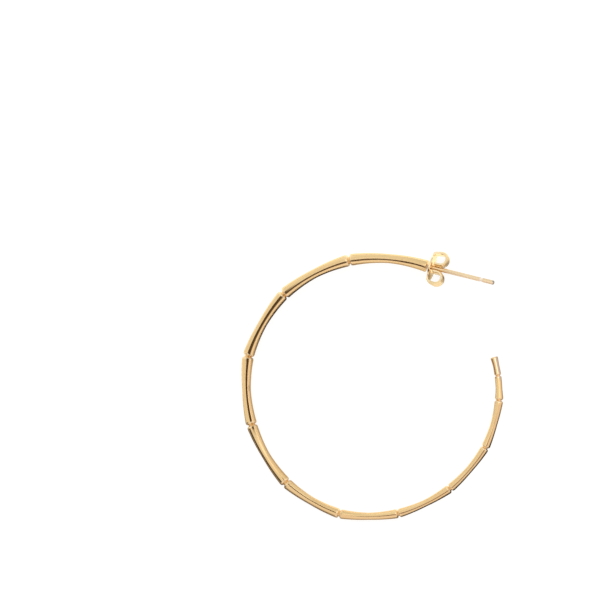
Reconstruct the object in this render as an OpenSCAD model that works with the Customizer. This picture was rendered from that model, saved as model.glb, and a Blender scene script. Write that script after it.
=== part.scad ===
// Bamboo hoop earring lying on its side, with its butterfly ear nut on the post. Millimetres, +Z up.
// X runs to the right and Y away. It leans on two rims of the tube and the edge of the ear nut's
// plate, with the surface it lies on at Z = 0 and the origin below its middle.

/* [Hoop] */
// Radius of the circle that the tube's middle line follows
hoop_r = 24.5; // [22:0.1:28]
// Share of that circle's curve that a bamboo segment keeps; the rest is a kink at its nodes
bow = 0.75; // [0.4:0.05:1]
// Thickness of the tube against the sizes in the table of segments
girth = 1; // [0.9:0.01:1.1]
// Thinnest place of a node against the rims beside it
neck = 0.55; // [0.45:0.01:0.7]
// Length of the slope from a rim down to the node, against the rim's diameter
slope = 0.18; // [0.14:0.01:0.3]
// How fast a segment widens from its waist: 1 is a plain cone, 2 a bowl
flare = 1.3; // [1:0.05:2]
// Size of the bevels on rims and ends
bevel = 0.1; // [0.05:0.01:0.15]
// Depth of the hollow in the free end
dish = 0.2; // [0.1:0.05:0.4]

/* [Post] */
// Diameter of the ear post
post_d = 0.8; // [0.7:0.05:0.85]
// Length of the post from the tube's end to its tip
post_len = 13.3; // [12:0.1:15]
// Direction of the post in the hoop's plane, from the X axis
post_dir = -14.2; // [-20:0.1:-10]
// Length of the tip beyond the groove that the ear nut snaps over
tip_len = 2.3; // [1.8:0.1:3]
// Width of that groove
groove_w = 0.55; // [0.52:0.01:0.7]
// Depth of that groove
groove_depth = 0.08; // [0.05:0.01:0.12]

/* [Ear nut] */
// Thickness of the ear nut's sheet
sheet = 0.35; // [0.3:0.01:0.4]
// Diameter of its round plate
plate_d = 5; // [4.5:0.1:5.5]
// Distance from the post's middle to where a wing bends up from the plate
wing_root = 2.45; // [2.4:0.05:2.5]
// Width of its wings
wing_w = 2.5; // [2.1:0.1:2.6]
// Height of the two lobes pressed along each wing, either side of its middle crease
lobe = 0.1; // [0.05:0.01:0.12]
// Gap between its hole and the post, all round
bore_gap = 0.05; // [0.03:0.01:0.09]
// Distance from the tube's end to the plate
nut_place = 0.75; // [0.4:0.05:2]
// Turn of the ear nut about the post
nut_turn = -9; // [-20:1:20]

/* [Smoothness] */
// Sides of the tube
tube_sides = 16; // [12:4:24]

/* [Hidden] */
$fn = 64;

// Bamboo segments from the post to the free end: where each starts round the hoop in degrees,
// how far outside hoop_r it starts, and its diameters at the first rim, the waist and the last rim
ANGLE = 0;
DRIFT = 1;
FIRST_RIM = 2;
WAIST = 3;
LAST_RIM = 4;
SEGMENTS = [
    [65.2, 0.5, 2.3, 1.77, 2.25],
    [100.6, -0.05, 2.27, 1.75, 2.24],
    [134.2, 0.15, 2.15, 1.72, 2.18],
    [166.2, 0.3, 2.22, 1.68, 2.13],
    [197, -0.15, 2.06, 1.6, 2.02],
    [227.6, 0, 2, 1.57, 1.87],
    [255.6, 0.2, 1.8, 1.4, 1.75],
    [282.3, -0.1, 1.68, 1.32, 1.68],
    [308.2, -0.15, 1.62, 1.32, 1.6],
    [332.1, 0.1, 1.63, 1.32, 1.6],
    [353.8, 0, 1.58, 1.3, 1.3],
    [364.7, -0.3, 1.3, 1.24, 1.45]
];
// Where the last segment ends: its angle and how far outside hoop_r
FREE_END = [373.1, -0.5];
// Rings of a segment between its two rims, as shares of the way
BODY_RINGS = [0, 0.12, 0.26, 0.42, 0.58, 0.74, 0.88, 1];

// One wing of the ear nut from the plate to its rolled end: each stretch's length, the turn
// over it in degrees, the steps it is made in and how much of the lobes' height it reaches
RUN = 0;
TURN = 1;
STEPS = 2;
LOBED = 3;
WING = [
    [1.25, 0, 1, 0],
    [0.42, -70, 4, 0.4],
    [1.1, -14, 3, 1],
    [3.85, -186, 12, 1],
    [0.95, 0, 1, 1]
];
// Places across a wing, as shares of half its width
ACROSS = [-1, -0.8, -0.5, -0.2, 0, 0.2, 0.5, 0.8, 1];

last = len(SEGMENTS) - 1;
post_r = post_d / 2;
bore_r = post_r + bore_gap;
// How deep the post's foot is set in the tube
foot = 1.2;
// Height of the rounded end of the post
tip_round = 0.3;
// The two segments whose last rims touch the surface below
REST_SEGMENTS = [3, 4];

// The middle line of the tube, in the hoop's own plane
function station(i) = i > last ? FREE_END : SEGMENTS[i];
function node_point(i) =
    (hoop_r + station(i)[DRIFT]) * [cos(station(i)[ANGLE]), sin(station(i)[ANGLE])];
function chord(i) = node_point(i + 1) - node_point(i);
function half_turn(i) = bow * (station(i + 1)[ANGLE] - station(i)[ANGLE]) / 2;
function arc_r(i) = norm(chord(i)) / 2 / sin(half_turn(i));
function arc_len(i) = arc_r(i) * half_turn(i) * PI / 90;
function heading(i, t) = atan2(chord(i).y, chord(i).x) + half_turn(i) * (2 * t - 1);
function middle(i, t) =
    let (now = heading(i, t), first = heading(i, 0))
    node_point(i) + arc_r(i) * [sin(now) - sin(first), cos(first) - cos(now)];

// Rings of the tube: each is [middle point, heading, radius]
function rim(i, column) = girth * SEGMENTS[i][column] / 2;
function slope_len(i, column) = 2 * slope * rim(i, column);
function body_r(i, t) =
    rim(i, WAIST) + (rim(i, t < 0.5 ? FIRST_RIM : LAST_RIM) - rim(i, WAIST)) * pow(abs(2 * t - 1), flare);
function ring(i, along, r) =
    let (t = along / arc_len(i))
    [middle(i, t), heading(i, t), r];
function neck_ring(i) =
    [node_point(i), station(i)[ANGLE] + 90, neck * min(rim(i - 1, LAST_RIM), rim(i, FIRST_RIM))];
function segment_rings(i) =
    let (
        start = i == 0 ? bevel : slope_len(i, FIRST_RIM),
        end = i == last ? bevel : slope_len(i, LAST_RIM),
        first = start + bevel,
        stretch = arc_len(i) - end - bevel - first
    )
    [
        i == 0 ? ring(i, 0, rim(i, FIRST_RIM) - bevel) : neck_ring(i),
        ring(i, start - bevel / 2, rim(i, FIRST_RIM) - bevel / 2),
        for (t = BODY_RINGS) ring(i, first + t * stretch, body_r(i, t)),
        ring(i, arc_len(i) - end + bevel / 2, rim(i, LAST_RIM) - bevel / 2)
    ];
rings = [
    for (i = [0:last]) each segment_rings(i),
    ring(last, arc_len(last), rim(last, LAST_RIM) - bevel),
    ring(last, arc_len(last) - dish, rim(last, LAST_RIM) / 2)
];
function ring_points(one) = [
    for (k = [0:tube_sides - 1])
        let (a = 360 * k / tube_sides)
        [
            one[0].x + one[2] * cos(a) * sin(one[1]),
            one[0].y - one[2] * cos(a) * cos(one[1]),
            one[2] * sin(a)
        ]
];
tube_points = [for (one = rings) each ring_points(one)];

// Faces of a closed skin over rings of points: two triangles between neighbours, and a strip
// of triangles over each end
function reversed(list) = [for (k = [len(list) - 1:-1:0]) list[k]];
function end_strip(from, sides) = [
    for (k = [0:sides / 2 - 2])
        let (
            a = from + k,
            b = from + sides - 1 - k
        )
        each [[a, a + 1, b - 1], [a, b - 1, b]]
];
function skin_faces(rings, sides) = [
    for (k = [0:rings - 2], side = [0:sides - 1])
        let (
            a = k * sides + side,
            b = k * sides + (side + 1) % sides
        )
        each [[a, b, b + sides], [a, b + sides, a + sides]],
    for (one = end_strip(0, sides)) reversed(one),
    each end_strip((rings - 1) * sides, sides)
];

// A wing's middle line: each ring is [[height above the plate, distance from the post], heading,
// share of the lobes' height]
wing_moves = [
    for (k = [0:len(WING) - 1], j = [1:WING[k][STEPS]])
        let (before = k == 0 ? 0 : WING[k - 1][LOBED], part = j / WING[k][STEPS])
        [
            WING[k][RUN] / WING[k][STEPS],
            WING[k][TURN] / WING[k][STEPS],
            before + (WING[k][LOBED] - before) * part
        ]
];
function wing_rings(at, head, lobed, k) =
    k == len(wing_moves) ? [[at, head, lobed]]
    : let (move = wing_moves[k], mid = head + move[TURN] / 2)
    concat(
        [[at, head, lobed]],
        wing_rings(at + move[RUN] * [cos(mid), sin(mid)], head + move[TURN], move[2], k + 1)
    );
function wing_point(one, across, face) =
    let (gap = face * sheet / 2 - lobe * one[2] * cos(360 * across))
    [across * wing_w / 2, one[0].y + gap * cos(one[1]), one[0].x - gap * sin(one[1])];
wing_points = [
    for (one = wing_rings([sheet / 2, wing_root - WING[0][RUN]], 90, 0, 0))
        each concat(
            [for (across = ACROSS) wing_point(one, across, 1)],
            [for (across = reversed(ACROSS)) wing_point(one, across, -1)]
        )
];

// How it lies: the plane through the lowest points of two rims and of the plate becomes level
function unit(v) = v / norm(v);
function rim_foot(i) =
    let (at = middle(i, 1 - (slope_len(i, LAST_RIM) + bevel) / arc_len(i)))
    [at.x, at.y, -rim(i, LAST_RIM)];
function plate_foot() =
    let (at = node_point(0) + nut_place * [cos(post_dir), sin(post_dir)])
    [at.x, at.y, -plate_d / 2];
foot_a = rim_foot(REST_SEGMENTS[0]);
foot_b = rim_foot(REST_SEGMENTS[1]);
up = unit(cross(foot_b - foot_a, plate_foot() - foot_a));
right = unit(cross([0, 1, 0], up));
lean = [right, cross(up, right), up];
function turned(x, y, angle) = [x * cos(angle) - y * sin(angle), x * sin(angle) + y * cos(angle)];
function nut_point(wing_point, side) =
    let (
        spun = turned(wing_point.x, side * wing_point.y, nut_turn),
        out = turned(wing_point.z + nut_place, spun.y, post_dir)
    )
    [node_point(0).x + out.x, node_point(0).y + out.y, -spun.x];
nut_points = [for (side = [1, -1], one = wing_points) nut_point(one, side)];
leant_points = [for (one = concat(tube_points, nut_points)) lean * one];
function lowest(axis) = min([for (one = leant_points) one[axis]]);
function highest(axis) = max([for (one = leant_points) one[axis]]);
shift = [
    -(lowest(0) + highest(0)) / 2,
    -(lowest(1) + highest(1)) / 2,
    -min(lowest(2), up * plate_foot())
];

module laid_down() {
    multmatrix([for (k = [0:2]) concat(lean[k], shift[k])]) children();
}

module skin(points, sides) {
    polyhedron(points, skin_faces(len(points) / sides, sides), convexity = 6);
}

module post() {
    groove_end = post_len - tip_len;
    rotate_extrude()
        polygon([
            [0, -foot],
            [post_r, -foot],
            for (a = [0:30:180])
                [post_r - groove_depth * sin(a), groove_end - groove_w * (1 + cos(a)) / 2],
            for (a = [0:15:75]) [post_r * cos(a), post_len - tip_round + tip_round * sin(a)],
            [0, post_len]
        ]);
}

// Puts what stands on the XY plane on the tube's end, along the post
module on_post(along) {
    translate(node_point(0))
        rotate([0, 0, post_dir])
            rotate([0, 90, 0])
                translate([0, 0, along])
                    children();
}

module plate() {
    intersection() {
        cylinder(d = plate_d, h = sheet);
        translate([0, 0, sheet / 2])
            cube([plate_d + 1, 2 * wing_root, sheet + 1], center = true);
    }
}

module bamboo_hoop() {
    color("gold")
        laid_down() {
            skin(tube_points, tube_sides);
            on_post(0) post();
        }
}

module ear_nut() {
    color("goldenrod")
        laid_down()
            on_post(nut_place)
                rotate([0, 0, nut_turn])
                    difference() {
                        union() {
                            plate();
                            skin(wing_points, 2 * len(ACROSS));
                            mirror([0, 1, 0]) skin(wing_points, 2 * len(ACROSS));
                        }
                        translate([0, 0, -1]) cylinder(r = bore_r, h = sheet + 2);
                    }
}

bamboo_hoop();
ear_nut();
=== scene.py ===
"""Looks of a bamboo hoop earring and its butterfly ear nut, lying on a pale floor."""
import logging
import math
from dataclasses import dataclass
from enum import Enum
from typing import Callable, Mapping, Sequence

import bpy
import numpy as np
from mathutils import Matrix, Vector


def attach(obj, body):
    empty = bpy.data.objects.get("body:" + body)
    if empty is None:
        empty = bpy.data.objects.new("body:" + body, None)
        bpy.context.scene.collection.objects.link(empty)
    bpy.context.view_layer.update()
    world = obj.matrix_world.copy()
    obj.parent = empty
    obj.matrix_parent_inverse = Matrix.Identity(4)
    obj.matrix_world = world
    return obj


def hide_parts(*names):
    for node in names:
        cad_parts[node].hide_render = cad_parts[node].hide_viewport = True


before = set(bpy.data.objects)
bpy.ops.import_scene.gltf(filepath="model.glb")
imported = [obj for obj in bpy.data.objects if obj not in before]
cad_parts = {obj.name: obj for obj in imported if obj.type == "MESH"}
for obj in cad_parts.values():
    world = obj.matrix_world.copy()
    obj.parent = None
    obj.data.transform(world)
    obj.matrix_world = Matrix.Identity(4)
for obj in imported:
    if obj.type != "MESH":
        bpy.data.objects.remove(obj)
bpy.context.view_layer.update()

MM = 0.001
SMALLEST_CHANGE = 1e-9
UP = Vector((0, 0, 1))
LOG = logging.getLogger("earring")
Piece = bpy.types.Object
Colour = tuple[float, float, float, float]
Pair = tuple[float, float]
Profile = list[Pair]
Values = Mapping[str | int, object]


def shares(steps: int) -> list[float]:
    """Even steps from 0 to 1."""
    return [step / steps for step in range(steps + 1)]


def compass(azimuth: float, height: float = 0) -> Vector:
    """The direction at an azimuth from +X and a height over the floor, in degrees."""
    turn, rise = math.radians(azimuth), math.radians(height)
    return Vector((math.cos(turn) * math.cos(rise), math.sin(turn) * math.cos(rise), math.sin(rise)))


# Modelling tools

class Bench:
    """The modelling operators, each with the selection that it needs."""

    @staticmethod
    def clear() -> None:
        """Leave edit mode and deselect every object."""
        if bpy.context.object and bpy.context.object.mode != "OBJECT":
            bpy.ops.object.mode_set(mode="OBJECT")
        bpy.ops.object.select_all(action="DESELECT")

    @staticmethod
    def take(*pieces: Piece) -> Piece:
        """Select some objects alone and make the first one active.

        Args:
            pieces: the objects to work on.

        Returns:
            The active object.
        """
        Bench.clear()
        for piece in pieces:
            piece.select_set(True)
        bpy.context.view_layer.objects.active = pieces[0]
        return pieces[0]

    @staticmethod
    def edit(piece: Piece) -> None:
        """Go into edit mode with all of one object selected.

        Args:
            piece: the object.
        """
        Bench.take(piece)
        bpy.ops.object.mode_set(mode="EDIT")
        bpy.ops.mesh.select_all(action="SELECT")

    @staticmethod
    def circle(
        name: str, sides: int, radius: float, middle: Vector, turn: Sequence[float] = (0, 0, 0)
    ) -> Piece:
        """Add a circle of edges and go into edit mode on it.

        Args:
            name: the object's name.
            sides: the number of points round it.
            radius: its radius, in millimetres.
            middle: where its middle is, in metres.
            turn: its turn about the three axes, in radians.

        Returns:
            The object.
        """
        Bench.clear()
        bpy.ops.mesh.primitive_circle_add(
            vertices=sides, radius=radius * MM, fill_type="NOTHING", location=middle, rotation=turn
        )
        bpy.ops.object.transform_apply(location=True, rotation=True, scale=True)
        circle = bpy.context.object
        circle.name = name
        Bench.edit(circle)
        return circle

    @staticmethod
    def collar(name: str, sides: int, radii: Pair, middle: Vector, rise: float = 0) -> Piece:
        """Add a ring of faces, flat or a cone, and stay in edit mode on it.

        Args:
            name: the object's name.
            sides: the number of points round it.
            radii: its first and its last radius, in millimetres.
            middle: where the middle of its first edge is, in metres.
            rise: how far its last edge lies over its first, in millimetres.

        Returns:
            The object.
        """
        near, far = radii
        collar = Bench.circle(name, sides, near, middle)
        bpy.ops.mesh.extrude_region_move(TRANSFORM_OT_translate={"value": (0, 0, rise * MM)})
        bpy.ops.transform.resize(value=(far / near, far / near, 1), center_override=middle)
        return collar

    @staticmethod
    def face_out() -> None:
        """Point all faces of the piece in edit mode outwards and leave edit mode."""
        bpy.ops.mesh.select_all(action="SELECT")
        bpy.ops.mesh.normals_make_consistent(inside=False)
        bpy.ops.mesh.select_mode(type="VERT")
        bpy.ops.object.mode_set(mode="OBJECT")

    @staticmethod
    def join(pieces: Sequence[Piece], name: str) -> Piece:
        """Join objects into one.

        Args:
            pieces: what is joined.
            name: the name of the result.

        Returns:
            The joined object.
        """
        whole = Bench.take(*pieces)
        bpy.ops.object.join()
        whole.name = whole.data.name = name
        return whole

    @staticmethod
    def turn(angle: float, axis: str, centre: Vector) -> None:
        """Turn the selection by an angle in degrees, counter-clockwise seen down the axis."""
        angle = math.radians(angle)
        bpy.ops.transform.rotate(value=-angle, orient_axis=axis, center_override=centre)

    @staticmethod
    def modify(piece: Piece, kind: str, **settings: object) -> None:
        """Add a modifier and apply it at once.

        Args:
            piece: the object that it works on.
            kind: Blender's name of the modifier's type.
            settings: the modifier's properties.
        """
        Bench.take(piece)
        modifier = piece.modifiers.new(kind.title(), kind)
        for name, value in settings.items():
            setattr(modifier, name, value)
        bpy.ops.object.modifier_apply(modifier=modifier.name)

    @staticmethod
    def settle(piece: Piece, place: Matrix) -> None:
        """Put a piece in its place and write that place into its mesh.

        Args:
            piece: the object.
            place: where it comes, in metres.
        """
        Bench.take(piece)
        piece.matrix_world = place
        bpy.ops.object.transform_apply(location=True, rotation=True, scale=True)

    @staticmethod
    def smooth(piece: Piece, angle: float) -> None:
        """Shade a piece smooth wherever its faces meet at less than an angle in degrees."""
        Bench.take(piece)
        bpy.ops.object.shade_smooth_by_angle(angle=math.radians(angle))


@dataclass(frozen=True)
class Ring:
    """One ring of a round bar, in the hoop's plane: middle in mm, heading in degrees, radius."""

    x: float
    y: float
    heading: float
    radius: float

    @property
    def middle(self) -> Vector:
        """Where the ring's middle is, in metres."""
        return Vector((self.x, self.y, 0)) * MM


class RoundBar:
    """A round bar that is drawn out ring by ring, and what is done to such bars, in millimetres."""

    MERGED_WITHIN = 0.0001
    END_INSET = 0.015

    def __init__(self, name: str, first: Ring, sides: int) -> None:
        """Start the bar with its first ring.

        Args:
            name: the object's name.
            first: the ring that it starts with.
            sides: the number of points round it.
        """
        turn = (math.pi / 2, 0, math.radians(first.heading + 90))
        self.piece = Bench.circle(name, sides, first.radius, first.middle, turn)
        self.last = first

    def draw(self, rings: Sequence[Ring]) -> Piece:
        """Draw the bar out through more rings.

        Args:
            rings: where the bar goes on.

        Returns:
            The bar's object, out of edit mode.
        """
        for ring in rings:
            step = ring.middle - self.last.middle
            turned = ring.heading - self.last.heading
            share = ring.radius / self.last.radius
            bpy.ops.mesh.extrude_region_move(TRANSFORM_OT_translate={"value": step})
            if abs(turned) > SMALLEST_CHANGE:
                Bench.turn(turned, "Z", ring.middle)
            bpy.ops.transform.resize(value=(share,) * 3, center_override=ring.middle)
            self.last = ring
        bpy.ops.object.mode_set(mode="OBJECT")
        return self.piece

    @staticmethod
    def points(bar: Piece) -> np.ndarray:
        """Read a bar's points.

        Args:
            bar: the object.

        Returns:
            Rows of x, y and z, in metres.
        """
        flat = np.empty(len(bar.data.vertices) * 3)
        bar.data.vertices.foreach_get("co", flat)
        return flat.reshape(-1, 3)

    @staticmethod
    def write(bar: Piece, straight: np.ndarray, groove: np.ndarray) -> None:
        """Keep the straightened place and the depth in a groove on each point.

        Args:
            bar: the object.
            straight: rows of outwards, height and along, in metres.
            groove: 1 in the bottom of a groove, and 0 or less on the open surface.
        """
        place = bar.data.attributes.new("bar", "FLOAT_VECTOR", "POINT")
        place.data.foreach_set("vector", straight.ravel())
        depth = bar.data.attributes.new("groove", "FLOAT", "POINT")
        depth.data.foreach_set("value", np.clip(groove, 0, 1))

    @staticmethod
    def close(bar: Piece) -> None:
        """Merge the rings that segments share, and close and face both ends.

        Args:
            bar: the object.
        """
        Bench.edit(bar)
        bpy.ops.mesh.remove_doubles(threshold=RoundBar.MERGED_WITHIN * MM)
        bpy.ops.mesh.select_all(action="DESELECT")
        bpy.ops.mesh.select_mode(type="EDGE")
        bpy.ops.mesh.select_non_manifold()
        bpy.ops.mesh.fill_holes(sides=0)
        bpy.ops.mesh.select_mode(type="FACE")
        bpy.ops.mesh.select_all(action="DESELECT")
        bpy.ops.mesh.select_face_by_sides(number=4, type="GREATER")
        bpy.ops.mesh.inset(thickness=RoundBar.END_INSET * MM)
        Bench.face_out()


# Shader tools

@dataclass(frozen=True)
class Signal:
    """A number or vector that flows through a node tree, written with the usual operators."""

    bench: "NodeBench"
    socket: bpy.types.NodeSocket

    def maths(self, operation: str, *values: "Signal | float") -> "Signal":
        """Add a Math node.

        Args:
            operation: the node's operation.
            values: what it works on.

        Returns:
            The node's result.
        """
        return self.bench.signal("Math", {"operation": operation}, dict(enumerate(values)))

    def __add__(self, other: "Signal | float") -> "Signal":
        """This plus other."""
        return self.maths("ADD", self, other)

    __radd__ = __add__

    def __sub__(self, other: "Signal | float") -> "Signal":
        """This less other."""
        return self.maths("SUBTRACT", self, other)

    def __rsub__(self, other: float) -> "Signal":
        """A number less this."""
        return self.maths("SUBTRACT", other, self)

    def __mul__(self, other: "Signal | float") -> "Signal":
        """This times other."""
        return self.maths("MULTIPLY", self, other)

    __rmul__ = __mul__

    def __abs__(self) -> "Signal":
        """This without its sign."""
        return self.maths("ABSOLUTE", self)

    def rise(self, low: float, high: float) -> "Signal":
        """Ease from 0 at low to 1 at high, or down where low is the higher."""
        ends = {"Value": self, "From Min": low, "From Max": high}
        return self.bench.signal("MapRange", {"interpolation_type": "SMOOTHSTEP"}, ends)

    def dot(self, direction: Vector) -> "Signal":
        """How far this vector goes in a direction."""
        settings = {"operation": "DOT_PRODUCT"}
        return self.bench.signal("VectorMath", settings, {0: self, 1: direction}, "Value")


@dataclass(frozen=True)
class Pattern:
    """Cloudy noise: its clouds' three sizes in mm, its finer octaves, and where it sets in."""

    size: tuple[float, float, float]
    detail: float
    sets_in: Pair = (0.0, 1.0)


class NodeBench:
    """A node tree that is being wired."""

    def __init__(self, tree: bpy.types.NodeTree) -> None:
        """Start with an empty tree."""
        self.tree = tree
        tree.nodes.clear()

    def add(self, kind: str, settings: Values, values: Values) -> bpy.types.Node:
        """Add a node of any kind.

        Args:
            kind: Blender's name of the node's type, less the word ShaderNode.
            settings: its properties.
            values: a number, colour or signal for each of its sockets.

        Returns:
            The node.
        """
        node = self.tree.nodes.new(f"ShaderNode{kind}")
        for name, value in settings.items():
            setattr(node, name, value)
        for key, value in values.items():
            if isinstance(value, Signal):
                self.tree.links.new(value.socket, node.inputs[key])
            else:
                node.inputs[key].default_value = value
        return node

    def signal(
        self, kind: str, settings: Values, values: Values, output: str | int = 0
    ) -> Signal:
        """Add a node and take one of its outputs.

        Args:
            kind: Blender's name of the node's type, less the word ShaderNode.
            settings: its properties.
            values: what its sockets hold.
            output: which output is taken.

        Returns:
            That output.
        """
        return Signal(self, self.add(kind, settings, values).outputs[output])

    def noise(self, place: Signal, pattern: Pattern) -> Signal:
        """Lay out a pattern.

        Args:
            place: the coordinates that it is laid out in, in metres.
            pattern: the size and detail of its clouds.

        Returns:
            The noise, from 0 to 1.
        """
        scale = tuple(1 / (size * MM) for size in pattern.size)
        laid = self.signal("Mapping", {}, {"Vector": place, "Scale": scale})
        values = {"Vector": laid, "Scale": 1.0, "Detail": pattern.detail}
        return self.signal("TexNoise", {}, values)

    def mix(self, share: "Signal | float", first: object, second: object) -> Signal:
        """A colour between two others, by a share."""
        values = {0: share, 6: first, 7: second}
        return self.signal("Mix", {"data_type": "RGBA"}, values, 2)


# Finishes

class Grain(Enum):
    """Where the lay of the polishing marks is read from."""

    ALONG_BAR = "bar"
    ON_SHEET = "sheet"


@dataclass(frozen=True)
class GoldFinish:
    """Gold-coloured metal with fine polishing marks, duller in its grooves, where a paler colour is a
    painted highlight.

    Heights are in millimetres. The bare metal starts at bare_from along a bar, in millimetres.
    """

    name: str
    grain: Grain
    colour: Colour
    warm: Colour
    roughness: float
    marks: float
    wave_height: float
    # A paler colour for the grooves: a painted highlight.
    groove: Colour | None = None
    bare: Colour | None = None
    bare_from: float = 0.0
    bare_blend: float = 0.5
    edge_tint: Colour = (1.0, 0.86, 0.64, 1)
    groove_depths: Pair = (0.15, 0.6)
    groove_patches: float = 0.4
    groove_roughness: float = 0.3
    mark_height: float = 0.00004
    tones: Pattern = Pattern((2.5, 2.5, 6), 2, (0.3, 0.7))
    lines: Pattern = Pattern((0.05, 0.05, 2.2), 3, (0.35, 0.75))
    patches: Pattern = Pattern((0.4, 0.4, 0.9), 3)
    waves: Pattern = Pattern((1.5, 1.5, 3.4), 1)

    def place(self, bench: NodeBench) -> Signal:
        """Read the coordinates that the marks follow.

        Args:
            bench: the node tree that is being wired.

        Returns:
            The coordinates, in metres.
        """
        if self.grain is Grain.ALONG_BAR:
            return bench.signal("Attribute", {"attribute_name": "bar"}, {}, "Vector")
        return bench.signal("TexCoord", {}, {}, "Object")

    def material(self) -> bpy.types.Material:
        """Build the finish as a material.

        Returns:
            The material.
        """
        material = bpy.data.materials.new(self.name)
        material.use_nodes = True
        bench = NodeBench(material.node_tree)
        place = self.place(bench)
        tones = bench.noise(place, self.tones).rise(*self.tones.sets_in)
        lines = bench.noise(place, self.lines)
        patches = bench.noise(place, self.patches)
        waves = bench.noise(place, self.waves)
        colour = bench.mix(tones, self.colour, self.warm)
        roughness = self.roughness + self.marks * (lines.rise(*self.lines.sets_in) + patches)
        if self.groove:
            near = bench.signal("Attribute", {"attribute_name": "groove"}, {}, "Fac")
            deep = near.rise(*self.groove_depths)
            patchy = 1 - self.groove_patches + self.groove_patches * patches
            # Painted highlight: the grooves are mixed towards the paler colour, in patches.
            colour = bench.mix(deep * patchy, colour, self.groove)
            roughness = roughness + self.groove_roughness * deep
        if self.bare:
            along = place.dot(UP / MM) + patches
            bared = along.rise(self.bare_from, self.bare_from + self.bare_blend)
            colour = bench.mix(bared, colour, self.bare)
        height = waves * (self.wave_height * MM) + lines * (self.mark_height * MM)
        bump = bench.signal("Bump", {}, {"Strength": 1.0, "Distance": 1.0, "Height": height})
        values = {
            "Base Color": colour,
            "Metallic": 1.0,
            "Roughness": roughness,
            "Specular Tint": self.edge_tint,
            "Normal": bump,
        }
        shader = bench.signal("BsdfPrincipled", {}, values)
        bench.add("OutputMaterial", {}, {"Surface": shader})
        return material


POLISHED = GoldFinish(
    name="polished_gold",
    grain=Grain.ALONG_BAR,
    colour=(0.86, 0.62, 0.33, 1),
    warm=(0.85, 0.59, 0.30, 1),
    # Paler gold in the nodes' grooves: a painted highlight.
    groove=(0.99, 0.78, 0.50, 1),
    roughness=0.025,
    marks=0.02,
    wave_height=0.002,
)
SATIN = GoldFinish(
    name="satin_gold",
    grain=Grain.ALONG_BAR,
    colour=(0.90, 0.71, 0.48, 1),
    warm=(0.88, 0.67, 0.43, 1),
    groove=(0.98, 0.90, 0.82, 1),
    roughness=0.2,
    marks=0.1,
    wave_height=0.001,
    bare=(0.40, 0.38, 0.36, 1),
    bare_from=13.2,
)
STAMPED = GoldFinish(
    name="stamped_gold",
    grain=Grain.ON_SHEET,
    colour=(0.96, 0.80, 0.54, 1),
    warm=(0.92, 0.70, 0.40, 1),
    roughness=0.1,
    marks=0.07,
    wave_height=0.002,
)


# The hoop

@dataclass(frozen=True)
class Lie:
    """How the earring lies: which way is up in the hoop's own axes, and where its middle comes."""

    up: tuple[float, float, float] = (0.0248573, 0.0196723, 0.999497)
    shift: tuple[float, float, float] = (0.0918834, -0.163139, 1.77718)

    def matrix(self) -> Matrix:
        """Work out the move from the hoop's own axes to where it lies.

        Returns:
            The move, in metres.
        """
        up = Vector(self.up).normalized()
        right = Vector((0, 1, 0)).cross(up).normalized()
        lean = Matrix((right, up.cross(right), up)).to_4x4()
        return Matrix.Translation(Vector(self.shift) * MM) @ lean


@dataclass(frozen=True)
class Arc:
    """The bent middle line of one bamboo segment, in the hoop's plane, in millimetres."""

    x: float
    y: float
    first: float
    turned: float
    radius: float

    @property
    def length(self) -> float:
        """How long the line is."""
        return self.radius * math.radians(self.turned)

    def ring(self, along: float, radius: float) -> Ring:
        """Set a ring square to the line.

        Args:
            along: how far along the line it is.
            radius: the ring's radius.

        Returns:
            The ring.
        """
        heading = self.first + math.degrees(along / self.radius)
        now, first = math.radians(heading), math.radians(self.first)
        x = self.x + self.radius * (math.sin(now) - math.sin(first))
        y = self.y + self.radius * (math.cos(first) - math.cos(now))
        return Ring(x, y, heading, radius)

    def unbend(self, points: np.ndarray) -> np.ndarray:
        """Lay points out as if the segment were straight.

        Args:
            points: rows of x, y, z in the hoop's axes, in metres.

        Returns:
            Rows of distance outwards, height, and distance along the line, in metres.
        """
        first = math.radians(self.first)
        to_centre = np.array((-math.sin(first), math.cos(first))) * self.radius
        spoke = points[:, :2] - (np.array((self.x, self.y)) + to_centre) * MM
        heading = np.arctan2(spoke[:, 0], -spoke[:, 1])
        along = (heading - first + math.pi) % (2 * math.pi) - math.pi
        out = np.hypot(spoke[:, 0], spoke[:, 1]) - self.radius * MM
        return np.column_stack((out, points[:, 2], along * self.radius * MM))


@dataclass(frozen=True)
class Segment:
    """One bamboo segment: where it starts, and its three diameters in millimetres."""

    angle: float
    drift: float
    first_rim: float
    waist: float
    last_rim: float


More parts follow.
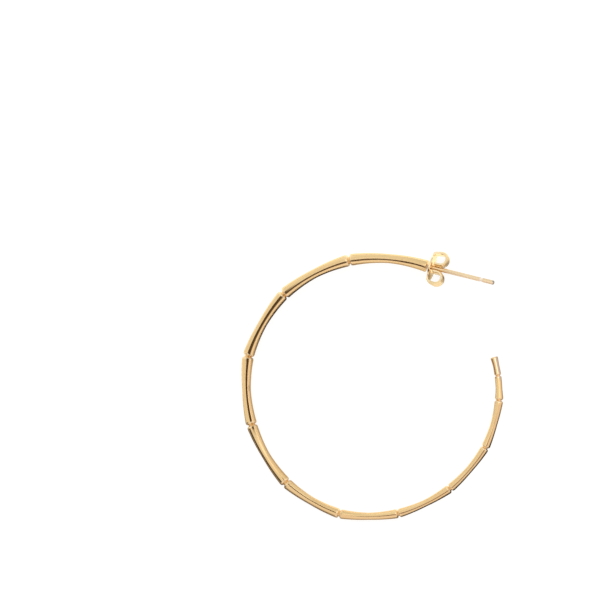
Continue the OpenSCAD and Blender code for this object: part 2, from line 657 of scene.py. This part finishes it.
@dataclass(frozen=True)
class EarPost:
    """The ear post, with solder at its foot and a snap groove, in millimetres and degrees."""

    radius: float = 0.4
    length: float = 13.3
    heading: float = -14.2
    sides: int = 48
    foot: float = -0.2
    solder: float = 0.14
    solder_start: float = 0.05
    solder_run: float = 0.3
    solder_curve: float = 2.5
    solder_steps: int = 6
    solder_shade: float = 0.5
    plain_rings: tuple[float, ...] = (1.5, 3, 4.5, 6, 7.5, 9, 10.2)
    snap_width: float = 0.55
    snap_depth: float = 0.08
    snap_steps: int = 12
    snap_shade: float = 0.45
    tip_length: float = 2.3
    tip_rings: tuple[float, ...] = (0.4, 1.2)
    tip_round: float = 0.3
    tip_turn: float = 85
    tip_steps: int = 10

    def profile(self) -> Profile:
        """Draw the post's outline from foot to tip.

        Returns:
            Distances from the tube's end with their radii.
        """
        outline = [(self.foot, self.radius + self.solder)]
        for up in shares(self.solder_steps):
            thick = self.solder * (1 - up) ** self.solder_curve
            outline.append((self.solder_start + self.solder_run * up, self.radius + thick))
        outline += [(along, self.radius) for along in self.plain_rings]
        snap_end = self.length - self.tip_length
        for share in shares(self.snap_steps):
            turn = math.pi * share
            along = snap_end - self.snap_width / 2 * (1 + math.cos(turn))
            outline.append((along, self.radius - self.snap_depth * math.sin(turn)))
        outline += [(snap_end + past, self.radius) for past in self.tip_rings]
        for share in shares(self.tip_steps):
            turn = math.radians(self.tip_turn * share)
            along = self.length - self.tip_round * (1 - math.sin(turn))
            outline.append((along, self.radius * math.cos(turn)))
        return outline

    def model(self, x: float, y: float) -> Piece:
        """Model the post.

        Args:
            x: where the middle of the tube's end is along the hoop's X axis.
            y: the same along its Y axis.

        Returns:
            The post's bar, open at both ends.
        """
        towards = math.radians(self.heading)
        run_x, run_y = math.cos(towards), math.sin(towards)
        rings = [Ring(x + s * run_x, y + s * run_y, self.heading, r) for s, r in self.profile()]
        bar = RoundBar("ear_post", rings[0], self.sides).draw(rings[1:])
        offset = RoundBar.points(bar) - np.array((x, y, 0)) * MM
        along = offset[:, 0] * run_x + offset[:, 1] * run_y
        aside = offset[:, 1] * run_x - offset[:, 0] * run_y
        snap_middle = self.length - self.tip_length - self.snap_width / 2
        snap = 1 - abs(along / MM - snap_middle) / self.snap_shade
        solder = 1 - along / MM / self.solder_shade
        RoundBar.write(bar, np.column_stack((aside, offset[:, 2], along)), np.maximum(snap, solder))
        return bar


@dataclass
class BambooHoop:
    """The hoop with its soldered ear post, in millimetres and degrees."""

    segments: tuple[Segment, ...] = (
        Segment(65.2, 0.5, 2.3, 1.77, 2.25),
        Segment(100.6, -0.05, 2.27, 1.75, 2.24),
        Segment(134.2, 0.15, 2.15, 1.72, 2.18),
        Segment(166.2, 0.3, 2.22, 1.68, 2.13),
        Segment(197, -0.15, 2.06, 1.6, 2.02),
        Segment(227.6, 0, 2, 1.57, 1.87),
        Segment(255.6, 0.2, 1.8, 1.4, 1.75),
        Segment(282.3, -0.1, 1.68, 1.32, 1.68),
        Segment(308.2, -0.15, 1.62, 1.32, 1.6),
        Segment(332.1, 0.1, 1.63, 1.32, 1.6),
        Segment(353.8, 0, 1.58, 1.3, 1.3),
        Segment(364.7, -0.3, 1.3, 1.24, 1.45),
    )
    free_end: Pair = (373.1, -0.5)
    post: EarPost = EarPost()
    radius: float = 24.5
    bow: float = 0.75
    neck: float = 0.55
    slope: float = 0.18
    groove_bottom: float = 0.05
    groove_rings: tuple[float, ...] = (0.05, 0.12, 0.22, 0.45, 0.75, 1)
    groove_reach: float = 0.8
    rounding: float = 0.24
    corner_steps: int = 5
    flare: float = 1.3
    bevel: float = 0.1
    bevel_knee: Pair = (0.03, 0.01)
    dish: float = 0.2
    dish_rings: tuple[float, ...] = (0.93, 0.84, 0.72, 0.56, 0.36, 0.14)
    sides: int = 48
    body_rings: int = 22
    skin: float = 0.015
    smooth_below: float = 32

    def node(self, i: int) -> tuple[float, float, float]:
        """Find where segment i starts.

        Args:
            i: which segment, or one past the last for the free end.

        Returns:
            Its x, its y and its angle round the hoop.
        """
        if i < len(self.segments):
            angle, drift = self.segments[i].angle, self.segments[i].drift
        else:
            angle, drift = self.free_end
        turn, reach = math.radians(angle), self.radius + drift
        return reach * math.cos(turn), reach * math.sin(turn), angle

    def arc(self, i: int) -> Arc:
        """Bend the middle line of a segment.

        Args:
            i: which segment.

        Returns:
            The line.
        """
        x, y, angle = self.node(i)
        next_x, next_y, next_angle = self.node(i + 1)
        turned = self.bow * (next_angle - angle)
        chord = math.hypot(next_x - x, next_y - y)
        towards = math.degrees(math.atan2(next_y - y, next_x - x))
        radius = chord / 2 / math.sin(math.radians(turned / 2))
        return Arc(x, y, towards - turned / 2, turned, radius)

    def neck_ring(self, i: int) -> Ring:
        """Set the thinnest ring of the node where a segment starts.

        Args:
            i: which segment.

        Returns:
            The ring.
        """
        x, y, angle = self.node(i)
        rim = min(self.segments[i - 1].last_rim, self.segments[i].first_rim)
        return Ring(x, y, angle + 90, self.neck * rim / 2)

    def corner(self, start: Pair, knee: Pair, end: Pair) -> Profile:
        """Round a corner of the profile.

        Args:
            start: distance along and radius where the rounding starts.
            knee: the corner itself.
            end: where the rounding ends.

        Returns:
            Points of the rounding, without its start.
        """
        return [
            tuple((1 - t) ** 2 * a + 2 * t * (1 - t) * b + t * t * c for a, b, c in zip(start, knee, end))
            for t in shares(self.corner_steps)[1:]
        ]

    def node_side(self, rim: float, neck: float) -> Profile:
        """Draw the profile from a node's bottom up to the rim beside it.

        Args:
            rim: the rim's radius.
            neck: the node's radius.

        Returns:
            Distances from the node's bottom with their radii.
        """
        start, blunt, rounded = 2 * self.slope * rim, self.groove_bottom, self.rounding * rim
        top = start - rounded / 2
        rise = (rim - rounded / 2 - neck) / (math.hypot(top, blunt) - blunt)
        side = [
            (top * share, neck + rise * (math.hypot(top * share, blunt) - blunt))
            for share in self.groove_rings
        ]
        knee = (top + rounded / 2 / rise, rim)
        return side + self.corner(side[-1], knee, (start + rounded, rim))

    def end_side(self, rim: float) -> Profile:
        """Draw the profile from an open end of the tube round its bevel.

        Args:
            rim: the end's radius.

        Returns:
            Distances from the end with their radii.
        """
        face, (along, inwards) = (0.0, rim - self.bevel), self.bevel_knee
        return [face] + self.corner(face, (along, rim - inwards), (2 * self.bevel, rim))

    def segment(self, i: int) -> Piece:
        """Model one bamboo segment from node to node.

        Args:
            i: which segment.

        Returns:
            The segment's tube, open at both ends.
        """
        shape, arc, last = self.segments[i], self.arc(i), len(self.segments) - 1
        first_r, waist_r, last_r = (
            size / 2 - self.skin for size in (shape.first_rim, shape.waist, shape.last_rim)
        )
        rings: list[Ring] = []
        if i == 0:
            opening = self.end_side(first_r)
        else:
            rings.append(self.neck_ring(i))
            opening = self.node_side(first_r, rings[0].radius)
        if i == last:
            closing = self.end_side(last_r)
        else:
            closing = self.node_side(last_r, self.neck_ring(i + 1).radius)
        low, high = opening[-1][0], arc.length - closing[-1][0]
        body = []
        for t in shares(self.body_rings)[1:-1]:
            rim = first_r if t < 0.5 else last_r
            radius = waist_r + (rim - waist_r) * abs(2 * t - 1) ** self.flare
            body.append((low + t * (high - low), radius))
        back = [(arc.length - along, radius) for along, radius in reversed(closing)]
        rings += [arc.ring(along, radius) for along, radius in opening + body + back]
        if i == last:
            lip = last_r - self.bevel
            for share in self.dish_rings:
                rings.append(arc.ring(arc.length - self.dish * (1 - share**4), lip * share))
        else:
            rings.append(self.neck_ring(i + 1))
        tube = RoundBar(f"segment_{i}", rings[0], self.sides).draw(rings[1:])
        reaches = (first_r * self.groove_reach * (i > 0), last_r * self.groove_reach * (i < last))
        self.mark(tube, arc, sum(self.arc(k).length for k in range(i)), reaches)
        return tube

    def mark(self, tube: Piece, arc: Arc, before: float, reaches: Pair) -> None:
        """Write on a segment's points where they are on the straightened cane.

        Args:
            tube: the segment.
            arc: its middle line.
            before: the length of the segments before it.
            reaches: how far the grooves at its start and its end reach along it, 0 for none.
        """
        straight = arc.unbend(RoundBar.points(tube))
        along = straight[:, 2] / MM
        groove = np.zeros(len(along))
        for reach, distance in zip(reaches, (along, arc.length - along)):
            if reach:
                groove = np.maximum(groove, 1 - distance / reach)
        straight[:, 2] += before * MM
        RoundBar.write(tube, straight, groove)

    def build(self) -> Piece:
        """Model the whole hoop, dress it and lay it down.

        Returns:
            The finished piece.
        """
        tube = Bench.join([self.segment(i) for i in range(len(self.segments))], "bamboo_tube")
        x, y, _ = self.node(0)
        post = self.post.model(x, y)
        for bar, finish in ((tube, POLISHED), (post, SATIN)):
            RoundBar.close(bar)
            bar.data.materials.append(finish.material())
        hoop = Bench.join([tube, post], "polished_bamboo_hoop")
        Bench.smooth(hoop, self.smooth_below)
        Bench.settle(hoop, Lie().matrix())
        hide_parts("bamboo_hoop")
        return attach(hoop, "hoop")


# The ear nut

@dataclass(frozen=True)
class Stretch:
    """A stretch of a wing: length in mm, turn in degrees, steps, and how much of the lobes it has."""

    run: float
    turn: float
    steps: int
    lobed: float


@dataclass
class EarNut:
    """The butterfly ear nut: one sheet of metal with two rolled wings, in millimetres."""

    sheet: float = 0.35
    plate_radius: float = 2.496
    plate_sides: int = 96
    hole_radius: float = 0.45
    wing_root: float = 2.45
    wing_width: float = 2.5
    lobe: float = 0.1
    columns: int = 16
    first_row: float = 0.02
    wing_thinner: float = 0.006
    picked_within: float = 0.01
    edge: float = 0.05
    edge_steps: int = 3
    edge_angle: float = 50
    smooth_below: float = 35
    place: float = 0.75
    turn: float = -9
    wing_path: tuple[Stretch, ...] = (
        Stretch(1.25, 0, 2, 0.02),
        Stretch(0.42, -70, 10, 0.4),
        Stretch(1.1, -14, 8, 1),
        Stretch(3.85, -186, 36, 1),
        Stretch(0.95, 0, 3, 1),
    )

    def plate(self) -> Piece:
        """Model the round plate with its hole, cut straight where the wings leave it.

        Returns:
            The plate as a solid.
        """
        middle = Vector((0, 0, self.sheet / 2)) * MM
        radii = (self.hole_radius, self.plate_radius)
        plate = Bench.collar("butterfly_ear_nut", self.plate_sides, radii, middle)
        for side in (1, -1):
            bpy.ops.mesh.select_all(action="SELECT")
            edge = (0, side * self.wing_root * MM, 0)
            bpy.ops.mesh.bisect(plane_co=edge, plane_no=(0, side, 0), clear_outer=True)
        Bench.face_out()
        self.thicken(plate, self.sheet)
        return plate

    def wing(self) -> Piece:
        """Model one wing: a strip with two lobes pressed in it, rolled towards the post.

        Returns:
            The wing as a solid.
        """
        Bench.clear()
        start = self.wing_root - self.wing_path[0].run
        middle = Vector((0, start - self.first_row / 2, self.sheet / 2)) * MM
        bpy.ops.mesh.primitive_grid_add(
            x_subdivisions=self.columns, y_subdivisions=1, size=MM, location=middle
        )
        wing = bpy.context.object
        wing.scale = (self.wing_width, self.first_row, 1)
        bpy.ops.object.transform_apply(location=True, rotation=True, scale=True)
        at, heading, lobed = Vector((0, start, self.sheet / 2)) * MM, 90.0, self.wing_path[0].lobed
        self.press_lobes(wing, lobed)
        for stretch in self.wing_path:
            for k in range(1, stretch.steps + 1):
                turn = stretch.turn / stretch.steps
                middle = math.radians(heading + turn / 2)
                run = stretch.run / stretch.steps * MM
                move = Vector((0, math.sin(middle), math.cos(middle))) * run
                bpy.ops.mesh.extrude_region_move(TRANSFORM_OT_translate={"value": move})
                at, heading = at + move, heading + turn
                if turn:
                    Bench.turn(-turn, "X", at)
                deeper = lobed + (stretch.lobed - lobed) / (stretch.steps - k + 1)
                self.deepen(deeper / lobed, heading, at)
                lobed = deeper
        self.thicken(wing, self.sheet - self.wing_thinner)
        return wing

    def press_lobes(self, wing: Piece, share: float) -> None:
        """Shape the strip's first rows to the lobes' profile and select its far edge.

        Args:
            wing: the strip.
            share: how much of the lobes' height the rows get.
        """
        Bench.edit(wing)
        bpy.ops.mesh.select_mode(type="VERT")
        half, near = self.wing_width / 2 * MM, self.picked_within * MM
        for column in range(self.columns // 2 + 1):
            across = column / (self.columns / 2)
            height = self.lobe * share * math.cos(2 * math.pi * across) * MM
            self.pick(wing, lambda p: abs(abs(p.x) - across * half) < near)
            bpy.ops.transform.translate(value=(0, 0, height))
        far = max(p.co.y for p in wing.data.vertices)
        self.pick(wing, lambda p: p.y > far - near)
        bpy.ops.mesh.select_mode(type="EDGE")

    @staticmethod
    def pick(piece: Piece, wanted: Callable[[Vector], bool]) -> None:
        """Select the points of a piece in edit mode by their place.

        Args:
            piece: the object in edit mode.
            wanted: tells for a point whether it is selected.
        """
        bpy.ops.mesh.select_all(action="DESELECT")
        bpy.ops.object.mode_set(mode="OBJECT")
        for point in piece.data.vertices:
            point.select = wanted(point.co)
        bpy.ops.object.mode_set(mode="EDIT")

    @staticmethod
    def deepen(share: float, heading: float, at: Vector) -> None:
        """Scale the selected row square to the sheet.

        Args:
            share: how many times deeper it gets.
            heading: the strip's heading in degrees, 90 away from the post and 0 along it.
            at: the row's middle.
        """
        if abs(share - 1) < SMALLEST_CHANGE:
            return
        across = Matrix.Rotation(math.radians(90 - heading), 3, "X")
        bpy.ops.transform.resize(
            value=(1, 1, share),
            orient_type="GLOBAL",
            orient_matrix=across,
            orient_matrix_type="GLOBAL",
            center_override=at,
        )

    def thicken(self, piece: Piece, thickness: float) -> None:
        """Give a sheet its thickness and break its edges.

        Args:
            piece: the sheet.
            thickness: how thick it gets.
        """
        Bench.modify(piece, "SOLIDIFY", thickness=thickness * MM, offset=0, use_even_offset=True)
        edge, sharp = self.edge * MM, math.radians(self.edge_angle)
        Bench.modify(
            piece, "BEVEL", width=edge, segments=self.edge_steps, limit_method="ANGLE", angle_limit=sharp
        )

    def build(self, hoop: BambooHoop) -> Piece:
        """Model the ear nut, dress it and put it on the post.

        Args:
            hoop: the hoop whose post it sits on.

        Returns:
            The finished piece.
        """
        plate, wing = self.plate(), self.wing()
        Bench.take(wing)
        bpy.ops.object.duplicate(linked=False)
        other = bpy.context.object
        Bench.settle(other, Matrix.Rotation(math.pi, 4, "Z"))
        for part in (wing, other):
            Bench.modify(plate, "BOOLEAN", operation="UNION", solver="EXACT", object=part)
            bpy.data.objects.remove(part)
        plate.data.name = plate.name
        Bench.edit(plate)
        Bench.face_out()
        plate.data.materials.append(STAMPED.material())
        Bench.smooth(plate, self.smooth_below)
        x, y, _ = hoop.node(0)
        place = (
            Lie().matrix()
            @ Matrix.Translation(Vector((x, y, 0)) * MM)
            @ Matrix.Rotation(math.radians(hoop.post.heading), 4, "Z")
            @ Matrix.Rotation(math.pi / 2, 4, "Y")
            @ Matrix.Translation(Vector((0, 0, self.place)) * MM)
            @ Matrix.Rotation(math.radians(self.turn), 4, "Z")
        )
        Bench.settle(plate, place)
        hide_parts("ear_nut")
        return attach(plate, "nut")


# The studio

@dataclass(frozen=True)
class Flag:
    """A dark flag far away: its azimuth, heights, half width and soft edge in degrees."""

    towards: float
    heights: Pair
    spread: float
    soft: float
    darkness: float

    def mask(self, direction: Signal) -> Signal:
        """How dark the flag makes a direction.

        Args:
            direction: the way that light comes from.

        Returns:
            From 0, not at all, to the flag's darkness.
        """
        ahead, aside = compass(self.towards), compass(self.towards + 90)
        height = direction.maths("ARCSINE", direction.dot(UP))
        turned = direction.maths("ARCTAN2", direction.dot(aside), direction.dot(ahead))
        low, high = (math.radians(edge) for edge in self.heights)
        soft, spread = math.radians(self.soft), math.radians(self.spread)
        inside = height.rise(low - soft, low + soft) * height.rise(high + soft, high - soft)
        return inside * abs(turned).rise(spread + soft, spread - soft) * self.darkness


@dataclass(frozen=True)
class Glow:
    """A soft light far away: its azimuth, height and half width in degrees, and its gain."""

    azimuth: float
    height: float
    width: float
    gain: float

    def share(self, direction: Signal) -> Signal:
        """How much it adds to a direction."""
        edge, full = math.cos(math.radians(self.width)), math.cos(math.radians(self.width / 3))
        return direction.dot(compass(self.azimuth, self.height)).rise(edge, full) * self.gain


@dataclass(frozen=True)
class PaintedReflection:
    """A painted reflection round the earring: a glowing ring that only reflections show, in millimetres.

    It is a flat ring or a cone from one radius and height to another (reach, heights). It is clear
    but for a band between two radii, which fades over the widths in soft, inside and outside. The
    band's middle is at the azimuth towards, and spread says how many degrees to either side of that
    it stays full and where it has gone. A dark ring paints shade, or on the floor a shadow, into the
    gold's reflections; a bright ring paints highlights into them.
    """

    name: str
    towards: float
    spread: Pair
    reach: Pair
    heights: Pair
    band: Pair
    colour: Colour
    soft: Pair = (1, 1)
    middle: Pair = (0, 0)
    paler: float = 0.0
    darkest: float = 0.0
    sides: int = 128

    def ink(self) -> bpy.types.Material:
        """The painted reflection's material.

        Returns:
            A glow of its colour inside the band, dark for painted shade and bright for painted
            highlight, and nothing outside it.
        """
        material = bpy.data.materials.new(f"{self.name}_ink")
        material.use_nodes = True
        bench = NodeBench(material.node_tree)
        place = bench.signal("TexCoord", {}, {}, "Object")
        offset = (-self.middle[0] * MM, -self.middle[1] * MM, 0)
        flat = bench.signal("Mapping", {}, {"Vector": place, "Location": offset, "Scale": (1, 1, 0)})
        out = bench.signal("VectorMath", {"operation": "LENGTH"}, {0: flat}, "Value")
        run = bench.signal("VectorMath", {"operation": "NORMALIZE"}, {0: flat})
        near, far = self.band[0] * MM, self.band[1] * MM
        share = out.rise(near - self.soft[0] * MM, near) * out.rise(far + self.soft[1] * MM, far)
        full, none = (math.cos(math.radians(angle)) for angle in self.spread)
        share = share * run.dot(compass(self.towards)).rise(none, full)
        share = share * (1 - self.paler + self.paler * run.dot(compass(self.darkest)))
        clear = bench.signal("BsdfTransparent", {}, {})
        glow = bench.signal("Emission", {}, {"Color": self.colour})
        shader = bench.signal("MixShader", {}, {0: share, 1: clear, 2: glow})
        bench.add("OutputMaterial", {}, {"Surface": shader})
        return material

    def hang(self) -> None:
        """Hang the painted reflection over the earring or lay it on the floor."""
        low, high = self.heights
        middle = Vector((*self.middle, low)) * MM
        card = Bench.collar(self.name, self.sides, self.reach, middle, high - low)
        bpy.ops.object.mode_set(mode="OBJECT")
        card.data.materials.append(self.ink())
        # Only glossy rays see it, so it paints shade, shadow or highlight into the reflections alone.
        card.visible_camera = card.visible_diffuse = False
        card.visible_shadow = card.visible_transmission = False


@dataclass
class Studio:
    """Pale glowing floor, soft light all round, and dark and bright painted reflections."""

    floor_size: float = 6.0
    floor_tone: Colour = (0.25, 0.25, 0.25, 1)
    floor_glow: float = 0.84
    level: float = 0.95
    yellowish: Colour = (0.98, 1.0, 0.94, 1)
    yellowish_side: float = 125
    pinkish: Colour = (1.03, 0.945, 0.93, 1)
    blend: float = 0.7
    glows: tuple[Glow, ...] = (
        Glow(azimuth=18, height=54, width=20, gain=0.42),
        Glow(azimuth=48, height=74, width=24, gain=0.34),
        Glow(azimuth=115, height=28, width=22, gain=0.14),
    )
    flags: tuple[Flag, ...] = (
        Flag(towards=-156, heights=(-20, 41), spread=13, soft=6, darkness=0.92),
        Flag(towards=-133, heights=(-20, 15), spread=14, soft=7, darkness=0.6),
        Flag(towards=-58, heights=(40, 68), spread=32, soft=12, darkness=0.26),
        Flag(towards=-62, heights=(-30, 8), spread=30, soft=10, darkness=0.24),
        Flag(towards=-45, heights=(-30, 8), spread=30, soft=10, darkness=0.45),
        Flag(towards=60, heights=(-30, 22), spread=30, soft=12, darkness=0.24),
        Flag(towards=88, heights=(18, 70), spread=18, soft=12, darkness=0.08),
    )
    # Painted reflections: dark rings paint shade and shadow into the gold's reflections, bright rings
    # paint highlights.
    painted_reflections: tuple[PaintedReflection, ...] = (
        # Hung over the earring: the dark rings paint shade lines into the tube's reflections; the top and
        # lip rings paint bright reflections.
        PaintedReflection("painted_reflection_awning", towards=137, spread=(64, 71), reach=(9, 30), heights=(7.35, 18.9),
             band=(15.2, 19.5), colour=(0.12, 0.085, 0.05, 1), soft=(1.2, 2.2),
             middle=(-3.4, 0.6), paler=0.05, darkest=165),
        PaintedReflection("awning_wing", towards=182, spread=(17, 26), reach=(9, 30), heights=(7.2, 18.75),
             band=(14.4, 21), colour=(0.10, 0.065, 0.04, 1), soft=(1, 1.5), middle=(-4, 0)),
        PaintedReflection("awning_post_wing", towards=60, spread=(11, 18), reach=(9, 30), heights=(7.15, 18.7),
             band=(18, 22), colour=(0.09, 0.05, 0.03, 1), soft=(1, 1.5), middle=(-4, 0)),
        PaintedReflection("awning_eave", towards=147, spread=(14, 28), reach=(18, 31), heights=(12.3, 19.5),
             band=(19, 26), colour=(0.10, 0.07, 0.04, 1), soft=(1.5, 1.5), middle=(-4, 0)),
        PaintedReflection("awning_top", towards=130, spread=(78, 84), reach=(9, 31), heights=(7.75, 19.9),
             band=(14, 24), colour=(1.0, 1.0, 0.97, 1), soft=(0.5, 1), middle=(-4, 0)),
        PaintedReflection("awning_lip", towards=115, spread=(50, 66), reach=(12, 12.5), heights=(4.2, 8),
             band=(11, 13.5), colour=(1.1, 1.05, 1.0, 1), middle=(-4, 0)),
        # Thin dark rings: painted shade lines in the tube's reflections.
        PaintedReflection("right_thin_painted_shade", towards=-60, spread=(42, 64), reach=(16, 28), heights=(14, 14),
             band=(20.4, 23.4), colour=(0.20, 0.13, 0.10, 1), soft=(1.3, 1.3), middle=(5.2, -7.3)),
        PaintedReflection("left_thin_painted_shade", towards=-151, spread=(12, 22), reach=(16, 28), heights=(13.9, 13.9),
             band=(21.3, 23.7), colour=(0.14, 0.09, 0.07, 1), soft=(1.3, 1.3), middle=(6, -8)),
        # At the free end: a dark ring paints shade, a bright one a highlight, and a bluish one a paler
        # reflection into the tube.
        PaintedReflection("end_painted_shade", towards=8.5, spread=(3.5, 6), reach=(14, 22.5), heights=(12, 0.1),
             band=(14, 20), colour=(0.34, 0.26, 0.20, 1), soft=(1, 2.3)),
        PaintedReflection("end_top_painted_highlight", towards=12, spread=(4.5, 8), reach=(22, 34), heights=(12, 12),
             band=(26, 31.5), colour=(1.7, 1.75, 2.3, 1), soft=(2, 1.5)),
        PaintedReflection("end_side_painted_reflection", towards=11, spread=(5, 9), reach=(30, 30.5), heights=(0.2, 9),
             band=(28, 33), colour=(0.70, 0.73, 1.05, 1)),
        # Bright rings on the floor: painted highlights in the reflections of the tube's sides.
        PaintedReflection("bright_outer_painted_highlight", towards=80, spread=(20, 85), reach=(24.5, 80), heights=(0.03, 0.03),
             band=(24.5, 50), colour=(1.38, 1.36, 1.30, 1), soft=(1, 25)),
        PaintedReflection("bright_inner_painted_highlight", towards=-68, spread=(48, 66), reach=(24.5, 3), heights=(0.03, 0.03),
             band=(8, 24.5), colour=(1.22, 1.19, 1.13, 1), soft=(5, 1)),
        # Dark rings on the floor: painted shadow of the earring, seen in the gold's reflections only.
        PaintedReflection("lower_floor_painted_shadow", towards=-60, spread=(95, 130), reach=(24.5, 80), heights=(0.04, 0.04),
             band=(24.5, 32), colour=(0.50, 0.45, 0.40, 1), soft=(1, 35)),
        PaintedReflection("lower_left_floor_painted_shadow", towards=-135, spread=(20, 34), reach=(24.5, 80),
             heights=(0.05, 0.05), band=(24.5, 34), colour=(0.22, 0.18, 0.14, 1), soft=(1, 25)),
        PaintedReflection("right_floor_painted_shadow", towards=-46, spread=(18, 42), reach=(24.5, 80), heights=(0.06, 0.06),
             band=(24.5, 34), colour=(0.04, 0.03, 0.02, 1), soft=(1, 25)),
        PaintedReflection("nut_floor_painted_shadow", towards=-50, spread=(90, 140), reach=(0.5, 6), heights=(0.07, 0.07),
             band=(0.5, 2.6), colour=(0.24, 0.19, 0.13, 1), soft=(0.3, 1.4), middle=(14.5, 21.5)),
        PaintedReflection("end_floor_painted_shadow", towards=4, spread=(9, 22), reach=(23.8, 8), heights=(0.06, 0.06),
             band=(13, 23.8), colour=(0.66, 0.62, 0.60, 1), soft=(5, 0.5)),
        PaintedReflection("inner_floor_painted_shadow", towards=150, spread=(70, 100), reach=(24.5, 3), heights=(0.04, 0.04),
             band=(18, 24.5), colour=(0.60, 0.54, 0.46, 1), soft=(12, 1)),
        PaintedReflection("left_floor_painted_shadow", towards=133, spread=(14, 40), reach=(24.5, 3), heights=(0.05, 0.05),
             band=(14, 24.5), colour=(0.08, 0.065, 0.05, 1), soft=(8, 1)),
    )

    def floor(self) -> None:
        """Lay the floor that the earring lies on."""
        Bench.clear()
        bpy.ops.mesh.primitive_plane_add(size=self.floor_size)
        floor = bpy.context.object
        floor.name = "floor"
        material = bpy.data.materials.new("floor_paper")
        material.use_nodes = True
        bench = NodeBench(material.node_tree)
        values = {
            "Base Color": self.floor_tone,
            "Roughness": 0.9,
            "Specular IOR Level": 0.0,
            "Emission Color": (1.0, 1.0, 1.0, 1),
            "Emission Strength": self.floor_glow,
        }
        shader = bench.signal("BsdfPrincipled", {}, values)
        bench.add("OutputMaterial", {}, {"Surface": shader})
        floor.data.materials.append(material)

    def light(self) -> None:
        """Light the studio from all round, less what the flags take."""
        world = bpy.data.worlds.new("studio")
        world.use_nodes = True
        bpy.context.scene.world = world
        bench = NodeBench(world.node_tree)
        direction = bench.signal("TexCoord", {}, {}, "Generated")
        level = self.level
        for glow in self.glows:
            level = level + glow.share(direction)
        for flag in self.flags:
            level = level * (1 - flag.mask(direction))
        share = direction.dot(compass(self.yellowish_side)).rise(-self.blend, self.blend)
        values = {"Color": bench.mix(share, self.pinkish, self.yellowish), "Strength": level}
        shader = bench.signal("Background", {}, values)
        bench.add("OutputWorld", {}, {"Surface": shader})

    def camera(self) -> None:
        """Set the camera where the picture was taken from."""
        right = Vector((0.9831, 0.0085, -0.1831))
        up = Vector((0.0037, 0.9978, 0.066))
        back = Vector((0.1833, -0.0656, 0.9809))
        lens, sensor, pixels, scale = 300, 36, 600, 5.3
        long = lens / sensor * pixels
        off_middle = Vector((72.2, -87, -long))
        aim = off_middle.rotation_difference(Vector((0, 0, -1))).to_matrix()
        facing = Matrix((right, up, back)).transposed() @ aim
        data = bpy.data.cameras.new("camera")
        data.lens, data.sensor_width = lens, sensor
        data.clip_start, data.clip_end = 0.05, 20
        camera = bpy.data.objects.new("camera", data)
        bpy.context.scene.collection.objects.link(camera)
        hoop_middle = Vector(Lie().shift) * MM
        place = hoop_middle + back.normalized() * (long / scale * MM)
        camera.matrix_world = Matrix.Translation(place) @ facing.to_4x4()
        bpy.context.scene.camera = camera

    def build(self) -> None:
        """Set up the floor, the lights, the painted reflections and the camera."""
        self.floor()
        self.light()
        for card in self.painted_reflections:
            card.hang()
        self.camera()
        bpy.context.scene.view_settings.view_transform = "Standard"


def main() -> None:
    """Build every piece and the studio."""
    logging.basicConfig(level=logging.INFO, format="%(name)s: %(message)s")
    hoop = BambooHoop()
    for piece in (hoop.build(), EarNut().build(hoop)):
        LOG.info("%s: %d points, %d faces", piece.name, len(piece.data.vertices), len(piece.data.polygons))
    Studio().build()
    LOG.info("studio ready")


if __name__ == "__main__":
    main()
